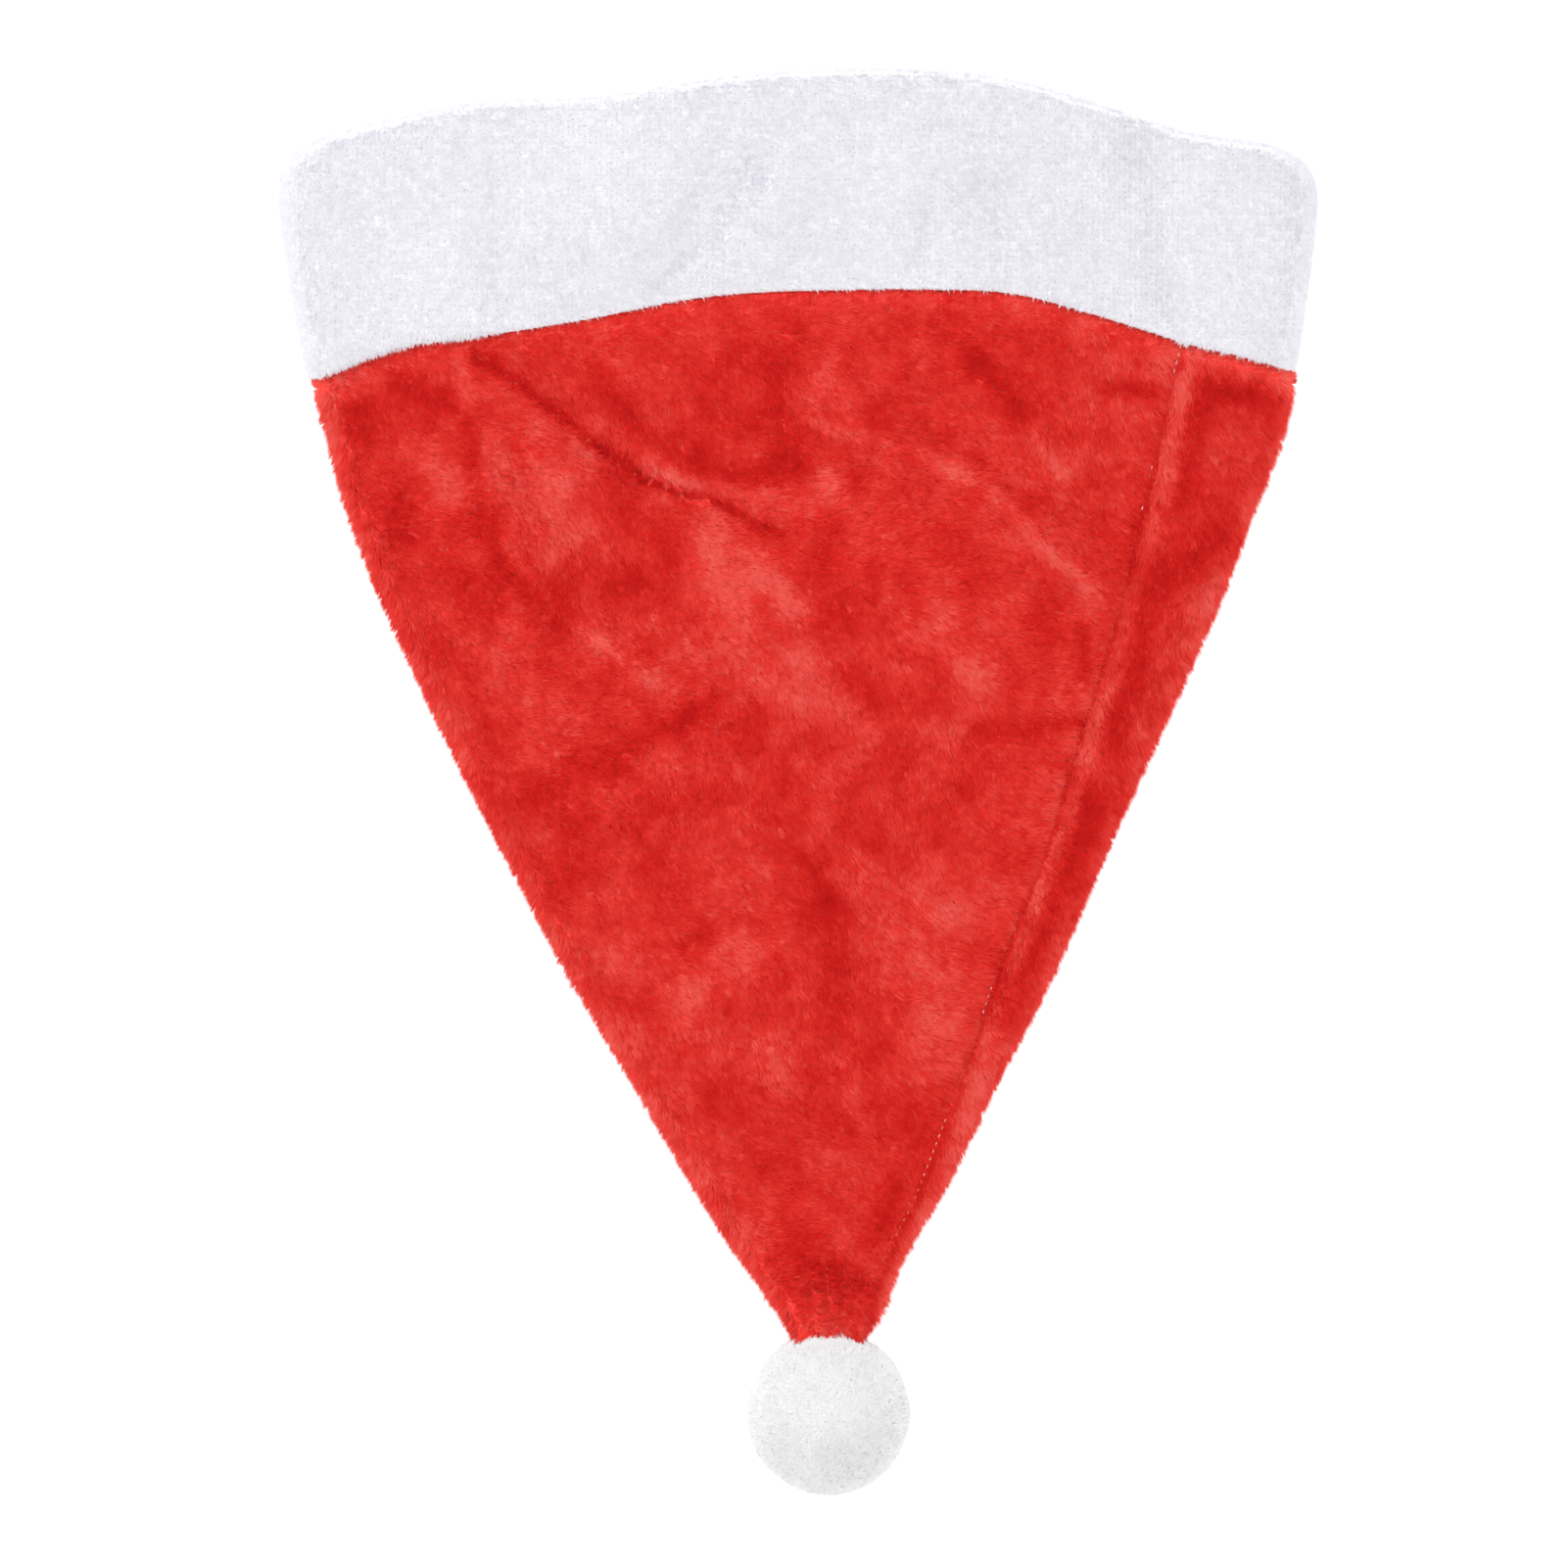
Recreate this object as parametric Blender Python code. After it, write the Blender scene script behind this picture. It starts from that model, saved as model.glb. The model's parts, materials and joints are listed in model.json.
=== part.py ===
"""Santa hat of red plush with a white plush band and a pompom, lying flat on a table.

+Y runs from the pompom to the mouth, +X is to the right seen from above, and +Z is up.
The origin is on the table under the middle of the hat. Lengths are in metres.
"""
import math

import bmesh
import bpy
import numpy as np

# Driving dimensions
CROWN_WALL = 0.0042          # plush cloth with its standing pile
BAND_WALL = 0.0072           # the same cloth turned in, so two layers
BAND_DEPTH = 0.0620          # mouth to the seam with the crown
BAND_SIDE_HEIGHT = 0.0200    # through the band at its side folds
BAND_CORNER = 0.0130         # plan radius where the side folds meet the mouth
BAND_LIP = 0.0024            # rounding of the band's edge at the seam
BAND_GROOVE = 0.0007         # the strip's own join, in line with the crown's side seam
POMPOM_RADIUS = 0.0229
POMPOM_CENTRE = (0.0087, -0.1746, 0.0224)
PIECE_GAP = 0.0004           # left between the pieces where they are sewn together

# The crown's rows, from the seam at the band to the tip. y and the two side folds are
# the outline from above; seam is the side seam's place on the front; height is through
# both layers, side the same at the side folds, and lift is the underside above the table.
CROWN_COLUMNS = ("y", "left", "right", "seam", "height", "side", "lift")
CROWN_ROWS = (
    (0.1127, -0.1358, 0.1397, 0.1072, 0.0250, 0.0140, 0.0),
    (0.0953, -0.1305, 0.1352, 0.1024, 0.0246, 0.0140, 0.0),
    (0.0789, -0.1263, 0.1286, 0.0985, 0.0240, 0.0138, 0.0),
    (0.0462, -0.1133, 0.1158, 0.0901, 0.0226, 0.0136, 0.0),
    (0.0135, -0.0981, 0.1008, 0.0789, 0.0211, 0.0134, 0.0),
    (-0.0192, -0.0815, 0.0858, 0.0685, 0.0196, 0.0132, 0.0),
    (-0.0519, -0.0643, 0.0718, 0.0558, 0.0182, 0.0130, 0.0),
    (-0.0846, -0.0448, 0.0548, 0.0449, 0.0169, 0.0128, 0.0),
    (-0.1173, -0.0255, 0.0385, 0.0322, 0.0157, 0.0130, 0.0),
    (-0.1337, -0.0147, 0.0280, 0.0225, 0.0160, 0.0140, 0.0040),
    (-0.1419, -0.0078, 0.0247, 0.0195, 0.0168, 0.0154, 0.0088),
    (-0.1500, -0.0024, 0.0202, 0.0165, 0.0164, 0.0160, 0.0128),
    (-0.1530, 0.0011, 0.0163, 0.0140, 0.0150, 0.0150, 0.0140),
)
TOP_ROW = dict(zip(CROWN_COLUMNS, CROWN_ROWS[0]))
END_ROW = dict(zip(CROWN_COLUMNS, CROWN_ROWS[-1]))

# The band's two edges seen from above: the mouth, and the seam that it shares with the crown.
EDGE_COLUMNS = ("x", "mouth", "seam")
EDGE_ROWS = (
    (-0.145, 0.1762, 0.1085),
    (-0.132, 0.1798, 0.1134),
    (-0.110, 0.1847, 0.1213),
    (-0.085, 0.1886, 0.1242),
    (-0.055, 0.1894, 0.1288),
    (-0.025, 0.1943, 0.1344),
    (0.005, 0.1968, 0.1360),
    (0.035, 0.1970, 0.1362),
    (0.060, 0.1942, 0.1354),
    (0.085, 0.1872, 0.1289),
    (0.110, 0.1798, 0.1213),
    (0.132, 0.1774, 0.1162),
    (0.145, 0.1748, 0.1110),
)

# The band's width and height at its mouth and at its seam.
BAND_COLUMNS = ("share", "left", "right", "height")
BAND_ROWS = (
    (0.0, -0.1466, 0.1468, 0.0290),
    (0.5, -0.1422, 0.1432, 0.0284),
    (1.0, -0.1366, 0.1390, 0.0270),
)

# Folds and creases of the front, each an arc from one end to the other. bow is the arc's
# height to the left of its way, rise is up from the cloth or down into it, spread its half width.
FOLD_COLUMNS = ("x0", "y0", "x1", "y1", "bow", "rise", "spread")
CROWN_FOLDS = (
    (-0.090, 0.120, -0.008, 0.070, -0.005, -0.0055, 0.0070),
    (-0.084, 0.103, -0.018, 0.062, -0.004, 0.0026, 0.0080),
    (0.002, 0.103, 0.082, 0.055, 0.007, 0.0046, 0.0070),
    (0.020, 0.112, 0.092, 0.066, 0.006, -0.0040, 0.0080),
    (-0.096, 0.099, -0.044, 0.032, -0.008, -0.0046, 0.0075),
    (-0.060, 0.006, -0.022, 0.024, 0.003, -0.0026, 0.0075),
    (-0.024, 0.054, 0.004, 0.016, 0.004, 0.0026, 0.0110),
    (0.064, 0.104, 0.078, 0.080, 0.000, 0.0028, 0.0060),
    (0.040, 0.013, 0.074, 0.016, 0.000, -0.0026, 0.0070),
    (0.000, -0.018, 0.012, -0.066, 0.004, -0.0028, 0.0080),
    (0.036, -0.030, 0.040, -0.078, 0.000, 0.0024, 0.0100),
    (0.006, -0.112, 0.010, -0.140, 0.000, -0.0016, 0.0060),
)
BAND_FOLDS = (
    (-0.083, 0.172, -0.081, 0.128, 0.000, -0.0028, 0.0070),
    (-0.013, 0.180, -0.040, 0.136, 0.003, -0.0038, 0.0065),
    (-0.001, 0.174, -0.026, 0.138, 0.003, 0.0016, 0.0080),
    (0.038, 0.160, 0.031, 0.138, 0.000, -0.0024, 0.0070),
    (0.054, 0.178, 0.057, 0.142, 0.000, -0.0024, 0.0090),
    (0.097, 0.184, 0.102, 0.124, 0.002, -0.0040, 0.0080),
)

# How finely the cloth is divided
FOLD_ANGLES = np.radians((0.0, 32.0, 62.0, 90.0))
FRONT_STEPS = 26             # across the front, from the left fold to the side seam
STRIP_STEPS = 2              # across the strip right of the side seam
BACK_STEPS = 14
CROWN_STEPS = 24             # along the crown, down to TIP_START
TIP_START = -0.1173
TIP_LEVELS = (-0.1255, -0.1337, -0.1400, -0.1455, -0.1500, -0.1522, -0.1530)
HOLLOW_END = -0.1360         # where the hollow closes, short of the tip
HOLLOW_END_SHARE = 0.45      # size of the hollow's last ring to the one before
INNER_EVERY = 2              # the inner wall follows every second ring
BAND_INSIDE = (1.0, 0.8, 0.6, 0.4, 0.2)                          # shares of the band's depth
BAND_OUTSIDE = (0.1, 0.17, 0.3, 0.44, 0.58, 0.72, 0.85)
TURN_RINGS = 7               # round the fold at the mouth
LIP_RINGS = 4                # round the edge at the seam
SHARP_ANGLE = math.radians(50)

# Soft forms
DOME_POWER = 2.4             # how the front rises from its side folds to its middle
BOW_FADE_END = -0.040        # the rows curve like the seam above this, and are straight below
BOW_FADE_POWER = 1.4
SEAM_LIP = 0.0022            # half width of the groove along the side seam
SEAM_CLEAR = 2.2             # lips that fit at least between the groove and the side fold
SEAM_GROOVE = 0.0016
GROOVE_FULL = 0.0300         # half width of a row that takes the whole groove
STRIP_PUFF = 0.0018          # how far the strip beside the seam stands up
PUFF_FULL = 0.0050           # rise of a row's middle over its folds that lets it stand up fully
ROUND_FROM = 0.22            # side fold's radius to half width, where a row starts to be round
ROUND_SPAN = 0.55
GATHERS = 9
GATHER_DEPTH = 0.0007
GATHER_START = -0.1270
GATHER_RUN = 0.0120          # from there to the full gathers
ARC_SAMPLES = 24
FOLD_END_SHARE = 0.3         # how full a fold still is at its ends
FOLD_END_RUN = 0.25          # share of its arc that it takes to fill out
EDGE_FADE_POWER = 10

# Pompom
LOCK_DIVISIONS = 3           # an icosphere of 320 faces, each face one lock
LOCK_LENGTH = 0.0021
LOCK_INSET = 0.0012
LOCK_SPREAD = 0.0004         # how far a lock's tip strays
LOCK_SEED = 24
SEAT_Y = END_ROW["y"] - PIECE_GAP

# Colours, roughness
RED_PLUSH = ((0.62, 0.026, 0.020, 1.0), 0.9)
WHITE_PLUSH = ((0.83, 0.83, 0.86, 1.0), 0.9)
WHITE_POMPOM = ((0.86, 0.86, 0.87, 1.0), 0.95)


def clear_scene():
    for thing in list(bpy.data.objects):
        bpy.data.objects.remove(thing, do_unlink=True)


def column(columns, rows, name):
    return np.array([row[columns.index(name)] for row in rows])


def through_rows(knots, values, at):
    """A smooth curve through a table's rows, read at the places given."""
    order = np.argsort(knots)
    knots, values = knots[order], values[order]
    slopes = np.gradient(values, knots)
    at = np.clip(at, knots[0], knots[-1])
    row = np.clip(np.searchsorted(knots, at) - 1, 0, len(knots) - 2)
    step = knots[row + 1] - knots[row]
    s = (at - knots[row]) / step
    ease = s * s * (3 - 2 * s)
    bend = s * (1 - s) * step * ((1 - s) * slopes[row] - s * slopes[row + 1])
    return values[row] + (values[row + 1] - values[row]) * ease + bend


def read_row(columns, rows, at):
    """All of a table's columns at one place between its rows, by name."""
    knots = column(columns, rows, columns[0])
    return {name: float(through_rows(knots, column(columns, rows, name), at)) for name in columns[1:]}


def edge_line(name, x):
    return through_rows(column(EDGE_COLUMNS, EDGE_ROWS, "x"), column(EDGE_COLUMNS, EDGE_ROWS, name), x)


def ease_in(value):
    value = np.clip(value, 0.0, 1.0)
    return value * value * (3 - 2 * value)


def fold_relief(folds, x, y):
    """Height that the folds add to the front at each point."""
    relief = np.zeros_like(x)
    for x0, y0, x1, y1, bow, rise, spread in folds:
        share = np.linspace(0.0, 1.0, ARC_SAMPLES)
        length = math.hypot(x1 - x0, y1 - y0)
        arch = 4 * bow * share * (1 - share) / length
        arc_x = x0 + (x1 - x0) * share - (y1 - y0) * arch
        arc_y = y0 + (y1 - y0) * share + (x1 - x0) * arch
        away = np.hypot(x[:, None] - arc_x, y[:, None] - arc_y)
        nearest = away.argmin(axis=1)
        strength = ease_in(FOLD_END_SHARE + np.minimum(share, 1 - share) / FOLD_END_RUN)[nearest]
        relief += rise * strength * np.exp(-(away.min(axis=1) / spread) ** 2)
    return relief


def places_across(fold_share, seam_share, lip_share):
    """Places across a ring as shares of its half width: the front left to right, then the back."""
    arc = 1 - fold_share * (1 - np.cos(FOLD_ANGLES))
    reach = arc[-1]
    seam_share = min(seam_share, reach - SEAM_CLEAR * lip_share)
    front = np.concatenate((
        -arc[:-1],
        np.linspace(-reach, seam_share - lip_share, FRONT_STEPS + 1),
        [seam_share],
        np.linspace(seam_share + lip_share, reach, STRIP_STEPS + 1),
        arc[-2::-1]))
    back = np.concatenate((arc[1:-1], np.linspace(reach, -reach, BACK_STEPS + 1), -arc[-2:0:-1]))
    roundness = ease_in((fold_share - ROUND_FROM) / ROUND_SPAN)
    round_front = -np.cos(np.linspace(0, np.pi, len(front)))
    round_back = np.cos(np.linspace(0, np.pi, len(back) + 2))[1:-1]
    front = front + (round_front - front) * roundness
    back = back + (round_back - back) * roundness
    return front, back, seam_share


def cloth_ring(row, inset, line, folds, groove, puff):
    """One ring round the flattened hat, inset into the cloth from its outer face.

    line gives the ring's y from its x. The ring starts at the left side fold, crosses
    the front to the right fold and comes back underneath. The seam's groove fades out
    where the seam runs too near the fold for the ring to follow it.
    """
    centre = (row["left"] + row["right"]) / 2
    half = (row["right"] - row["left"]) / 2 - inset
    fold = row["side"] / 2 - inset
    real_share = (row["seam"] - centre) / half
    front, back, seam_share = places_across(fold / half, real_share, SEAM_LIP / half)
    followed = ease_in(1 - (real_share - seam_share) * half / SEAM_LIP)
    share = np.concatenate((front, back))
    is_front = np.arange(len(share)) < len(front)

    x = centre + half * share
    y = line(x)
    from_edge = np.minimum((1 - np.abs(share)) * half, fold)
    arc = np.sqrt(np.maximum(fold ** 2 - (fold - from_edge) ** 2, 0.0))
    dome = (row["height"] - row["side"]) * (1 - np.abs(share) ** DOME_POWER)
    strip = np.clip((share - seam_share) / (1 - seam_share), 0.0, 1.0)
    puffed = puff * np.sin(np.pi * strip) * min(1.0, (row["height"] - row["side"]) / PUFF_FULL)
    relief = fold_relief(folds, x, y) * (1 - np.abs(share) ** EDGE_FADE_POWER)
    if inset == 0.0:
        relief[FRONT_STEPS + len(FOLD_ANGLES)] -= groove * followed * min(1.0, half / GROOVE_FULL)
    above = arc + dome + puffed + relief
    z = row["lift"] + inset + fold + np.where(is_front, above, -arc)
    return np.stack((x, y, z), axis=1)


def crown_ring(y, inset):
    row = read_row(CROWN_COLUMNS, CROWN_ROWS, y)
    row["lift"] = max(row["lift"], 0.0)
    top_centre = (TOP_ROW["left"] + TOP_ROW["right"]) / 2
    top_half = (TOP_ROW["right"] - TOP_ROW["left"]) / 2
    centre = (row["left"] + row["right"]) / 2
    half = (row["right"] - row["left"]) / 2
    fade = ease_in((y - BOW_FADE_END) / (TOP_ROW["y"] - BOW_FADE_END)) ** BOW_FADE_POWER

    def line(x):
        across = top_centre + top_half * (x - centre) / half
        return y + fade * (edge_line("seam", across) - TOP_ROW["y"]) - PIECE_GAP / 2

    ring = cloth_ring(row, inset, line, CROWN_FOLDS, SEAM_GROOVE, STRIP_PUFF)
    gathered = GATHER_DEPTH * float(ease_in((GATHER_START - y) / GATHER_RUN)) * (y > TIP_LEVELS[-2])
    middle = ring.mean(axis=0)
    angle = np.arctan2(ring[:, 2] - middle[2], ring[:, 0] - middle[0])
    ring[:, 0] += gathered * np.cos(GATHERS * angle) * np.cos(angle)
    ring[:, 2] += gathered * np.cos(GATHERS * angle) * np.sin(angle)
    return ring


def band_ring(from_mouth, inset):
    share_along = from_mouth / BAND_DEPTH
    row = read_row(BAND_COLUMNS, BAND_ROWS, share_along)
    to_corner = max(BAND_CORNER - from_mouth, 0.0)
    pulled_in = BAND_CORNER - math.sqrt(BAND_CORNER ** 2 - to_corner ** 2)
    row["left"] += pulled_in
    row["right"] -= pulled_in
    row["side"] = BAND_SIDE_HEIGHT
    row["seam"] = TOP_ROW["seam"]
    row["lift"] = 0.0

    def line(x):
        mouth, seam = edge_line("mouth", x), edge_line("seam", x) + PIECE_GAP / 2
        return mouth + (seam - mouth) * share_along

    return cloth_ring(row, inset, line, BAND_FOLDS, BAND_GROOVE, 0.0)


def extrude_rings(bm, rings):
    """Skin a row of rings: the first is drawn, and each next one is extruded from it."""
    verts = [bm.verts.new(point) for point in rings[0]]
    edges = [bm.edges.new((verts[i - 1], verts[i])) for i in range(len(verts))]
    first = list(edges)
    first_verts = list(verts)
    for ring in rings[1:]:
        grown = bmesh.ops.extrude_edge_only(bm, edges=edges)["geom"]
        new_verts = {item for item in grown if isinstance(item, bmesh.types.BMVert)}
        edges = [item for item in grown if isinstance(item, bmesh.types.BMEdge)
                 and item.verts[0] in new_verts and item.verts[1] in new_verts]
        verts = [next(e.other_vert(v) for e in v.link_edges if e.other_vert(v) in new_verts) for v in verts]
        for vert, point in zip(verts, ring):
            vert.co = point
    return first, edges, first_verts, verts


def finish(bm, name, material):
    bmesh.ops.recalc_face_normals(bm, faces=bm.faces)
    mesh = bpy.data.meshes.new(name)
    bm.to_mesh(mesh)
    bm.free()
    mesh.shade_smooth()
    mesh.set_sharp_from_angle(angle=SHARP_ANGLE)
    mesh.materials.append(material)
    piece = bpy.data.objects.new(name, mesh)
    bpy.context.scene.collection.objects.link(piece)
    return piece


def plush(name, look):
    colour, roughness = look
    material = bpy.data.materials.new(name)
    material.use_nodes = True
    shader = material.node_tree.nodes["Principled BSDF"]
    shader.inputs["Base Color"].default_value = colour
    shader.inputs["Roughness"].default_value = roughness
    shader.inputs["Metallic"].default_value = 0.0
    return material


def make_crown():
    """The cone: its hollow from the closed end up, over the edge, and down the outside to the tip."""
    levels = list(np.linspace(TOP_ROW["y"], TIP_START, CROWN_STEPS + 1)) + list(TIP_LEVELS)
    outside = [crown_ring(y, 0.0) for y in levels]
    hollow = [crown_ring(y, CROWN_WALL) for y in levels[:CROWN_STEPS + 1:INNER_EVERY]]
    last = crown_ring(TIP_LEVELS[0], CROWN_WALL)
    middle = last.mean(axis=0)
    end = middle + (last - middle) * HOLLOW_END_SHARE
    end[:, 1] = HOLLOW_END
    rings = [end, last] + hollow[::-1] + outside

    bm = bmesh.new()
    _, _, first_verts, last_verts = extrude_rings(bm, rings)
    bm.faces.new(first_verts)
    bm.faces.new(last_verts)
    return finish(bm, "crown", plush("red_plush", RED_PLUSH))


def make_band():
    """The double strip: up the inside from the seam, over the fold at the mouth, down the outside."""
    turn = BAND_WALL / 2
    inside = [(share * BAND_DEPTH, BAND_WALL) for share in BAND_INSIDE]
    fold = [(turn * (1 - math.sin(angle)), turn * (1 - math.cos(angle)))
            for angle in np.linspace(math.pi, 0.0, TURN_RINGS)]
    outside = [(share * BAND_DEPTH, 0.0) for share in BAND_OUTSIDE]
    lip = [(BAND_DEPTH - BAND_LIP * (1 - math.sin(angle)), BAND_LIP * (1 - math.cos(angle)))
           for angle in np.linspace(0.0, math.pi / 2, LIP_RINGS)]
    rings = [band_ring(from_mouth, inset) for from_mouth, inset in inside + fold + outside + lip]

    bm = bmesh.new()
    first, last, _, _ = extrude_rings(bm, rings)
    bmesh.ops.bridge_loops(bm, edges=first + last)
    return finish(bm, "band", plush("white_plush", WHITE_PLUSH))


def make_pompom():
    """A ball of short locks, one on each face of its core, flat at the sewn seat and on the table."""
    bm = bmesh.new()
    bmesh.ops.create_icosphere(bm, subdivisions=LOCK_DIVISIONS, radius=POMPOM_RADIUS - LOCK_LENGTH)
    core_verts = set(bm.verts)
    bmesh.ops.inset_individual(bm, faces=bm.faces, thickness=LOCK_INSET, depth=LOCK_LENGTH,
                               use_even_offset=True)
    stray = np.random.default_rng(LOCK_SEED)
    for vert in bm.verts:
        if vert not in core_verts:
            vert.co += vert.co.normalized() * float(stray.uniform(-1, 1)) * LOCK_SPREAD
    bmesh.ops.translate(bm, verts=bm.verts, vec=POMPOM_CENTRE)
    for vert in bm.verts:
        vert.co.y = min(vert.co.y, SEAT_Y)
        vert.co.z = max(vert.co.z, 0.0)
    return finish(bm, "pompom", plush("white_pompom", WHITE_POMPOM))


clear_scene()
make_crown()
make_band()
make_pompom()
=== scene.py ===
# %% [markdown]
# A plush santa hat, lying flat and seen from straight above. Its solids come from the
# frame, at their real size. This file gives them their surface: cloth with folds, a side
# seam with its stitches, and hundreds of thousands of fine hairs, the pile of the plush.
# The order is camera, light, cloth, the comb that makes pile, and then each piece's pile.

# %% Load the frame
import json
import math
import bmesh
import bpy
import numpy as np
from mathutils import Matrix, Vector, noise
from mathutils.bvhtree import BVHTree
from mathutils.kdtree import KDTree

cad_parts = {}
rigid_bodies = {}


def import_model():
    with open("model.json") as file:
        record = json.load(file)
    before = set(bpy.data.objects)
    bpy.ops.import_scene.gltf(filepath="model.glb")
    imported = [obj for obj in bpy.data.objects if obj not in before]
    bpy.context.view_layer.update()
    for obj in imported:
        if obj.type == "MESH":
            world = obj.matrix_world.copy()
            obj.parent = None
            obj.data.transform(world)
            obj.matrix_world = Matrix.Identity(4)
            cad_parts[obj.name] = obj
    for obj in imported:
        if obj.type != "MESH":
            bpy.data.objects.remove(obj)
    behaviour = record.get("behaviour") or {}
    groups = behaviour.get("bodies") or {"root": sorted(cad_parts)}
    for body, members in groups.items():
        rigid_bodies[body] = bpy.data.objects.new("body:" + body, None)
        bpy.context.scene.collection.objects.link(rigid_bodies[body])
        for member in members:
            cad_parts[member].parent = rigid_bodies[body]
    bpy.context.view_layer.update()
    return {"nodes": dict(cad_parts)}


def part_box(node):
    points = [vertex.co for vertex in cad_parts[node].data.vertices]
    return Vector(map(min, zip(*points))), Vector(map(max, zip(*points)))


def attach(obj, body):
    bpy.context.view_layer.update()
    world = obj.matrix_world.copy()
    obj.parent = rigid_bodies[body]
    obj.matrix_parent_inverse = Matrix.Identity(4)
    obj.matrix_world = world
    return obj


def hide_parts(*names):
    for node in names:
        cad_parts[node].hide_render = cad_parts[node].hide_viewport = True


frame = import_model()

# %% [markdown]
# The photograph looks straight down, and its square frame is a little wider than the hat
# is long. A long lens from well above keeps the thick band and the pompom from looming.
# The camera's height follows from the width that the frame shows at the cloth's height.

# %% Camera
FRAME_WIDTH = 0.4364         # what the picture's width covers at the cloth
FRAME_CENTRE = (-0.0037, -0.0003)
CLOTH_HEIGHT = 0.017
LENS_MM = 135.0
SENSOR_MM = 36.0

scene = bpy.context.scene
camera_data = bpy.data.cameras.new("camera")
camera_data.lens = LENS_MM
camera_data.sensor_width = SENSOR_MM
camera = bpy.data.objects.new("camera", camera_data)
camera.location = (*FRAME_CENTRE, CLOTH_HEIGHT + FRAME_WIDTH * LENS_MM / SENSOR_MM)
scene.collection.objects.link(camera)
scene.camera = camera
print("camera height, m:", round(camera.location.z, 3))

# %% [markdown]
# Clothes are photographed for a catalogue in light from all round, so that the ground goes
# white and the shadows nearly vanish. A white world gives most of that light, and two
# large panels give the folds their shape. The Standard view keeps the whites and the reds
# as they are, where the filmic one would grey them.

# %% Light
WORLD_STRENGTH = 1.09
PANELS = (
    # x, y, z, size, watts
    (-0.9, 0.7, 1.3, 1.0, 9.0),
    (0.8, 0.3, 1.6, 1.2, 4.0),
)

scene.view_settings.view_transform = "Standard"
scene.view_settings.look = "None"
world = bpy.data.worlds.new("soft_room")
world.use_nodes = True
world.node_tree.nodes["Background"].inputs["Color"].default_value = (1, 1, 1, 1)
world.node_tree.nodes["Background"].inputs["Strength"].default_value = WORLD_STRENGTH
scene.world = world

for x, y, z, size, watts in PANELS:
    light = bpy.data.lights.new("panel", "AREA")
    light.size = size
    light.energy = watts
    panel = bpy.data.objects.new("panel", light)
    panel.location = (x, y, z)
    panel.rotation_euler = (-Vector((x, y, z))).to_track_quat("-Z", "Y").to_euler()
    scene.collection.objects.link(panel)

# %% [markdown]
# Every material here starts from the same soft, dull shader with a little sheen, the glow
# that fibres have where a surface turns away. A helper makes it, and another makes ramps.

# %% Material helpers


def soft_shader(name, roughness, sheen, tint):
    look = bpy.data.materials.new(name)
    look.use_nodes = True
    shader = look.node_tree.nodes["Principled BSDF"]
    shader.inputs["Roughness"].default_value = roughness
    shader.inputs["Specular IOR Level"].default_value = 0.2
    shader.inputs["Sheen Weight"].default_value = sheen
    shader.inputs["Sheen Roughness"].default_value = 0.45
    shader.inputs["Sheen Tint"].default_value = (*tint, 1)
    return look, look.node_tree, shader


def colour_ramp(tree, stops):
    node = tree.nodes.new("ShaderNodeValToRGB")
    for i, (place, colour) in enumerate(stops):
        stop = node.color_ramp.elements[i] if i < 2 else node.color_ramp.elements.new(place)
        stop.position = place
        stop.color = (*colour, 1)
    return node


# %% [markdown]
# The floor is a plain pale board, lit a little from below like a photographer's light
# table, so that the hat casts hardly a shadow on it. It is part of the stage and not of the hat.

# %% Floor
FLOOR_HALF = 3.0
FLOOR_GLOW = 0.45

bm = bmesh.new()
bmesh.ops.create_grid(bm, x_segments=1, y_segments=1, size=FLOOR_HALF)
floor_mesh = bpy.data.meshes.new("floor")
bm.to_mesh(floor_mesh)
bm.free()
floor = bpy.data.objects.new("floor", floor_mesh)
scene.collection.objects.link(floor)
floor_look, _, floor_shader = soft_shader("floor", 0.9, 0.0, (1, 1, 1))
floor_shader.inputs["Base Color"].default_value = (0.95, 0.95, 0.95, 1)
floor_shader.inputs["Emission Color"].default_value = (1, 1, 1, 1)
floor_shader.inputs["Emission Strength"].default_value = FLOOR_GLOW
floor_mesh.materials.append(floor_look)

# %% [markdown]
# Pile looks light at its tips and dark at its feet, where little light comes. So each hair carries a
# small map of its own: across is the hair's tone, and up is the way from foot to tip. One ramp turns
# the tone into a colour, and the other paints that shade on the foot.

# %% Pile material
HAIR_MAP = "OFBake"
TIP_LIGHT = 0.6              # share of a hair's length where the foot's painted shade has gone
RED_TONES = ((0.58, 0.002, 0.001), (0.74, 0.009, 0.006), (0.88, 0.040, 0.029),
             (0.96, 0.130, 0.103))
# painted shade at the hairs' feet, where the pile's depth lets little light in
RED_FOOT_SHADE = (0.92, 0.76, 0.74)
WHITE_TONES = ((0.70, 0.69, 0.765), (0.838, 0.833, 0.875), (0.88, 0.877, 0.91))
WHITE_FOOT_SHADE = (0.97, 0.97, 0.98)
POMPOM_TONES = ((0.76, 0.76, 0.765), (0.88, 0.88, 0.885), (0.97, 0.97, 0.972))


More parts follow.
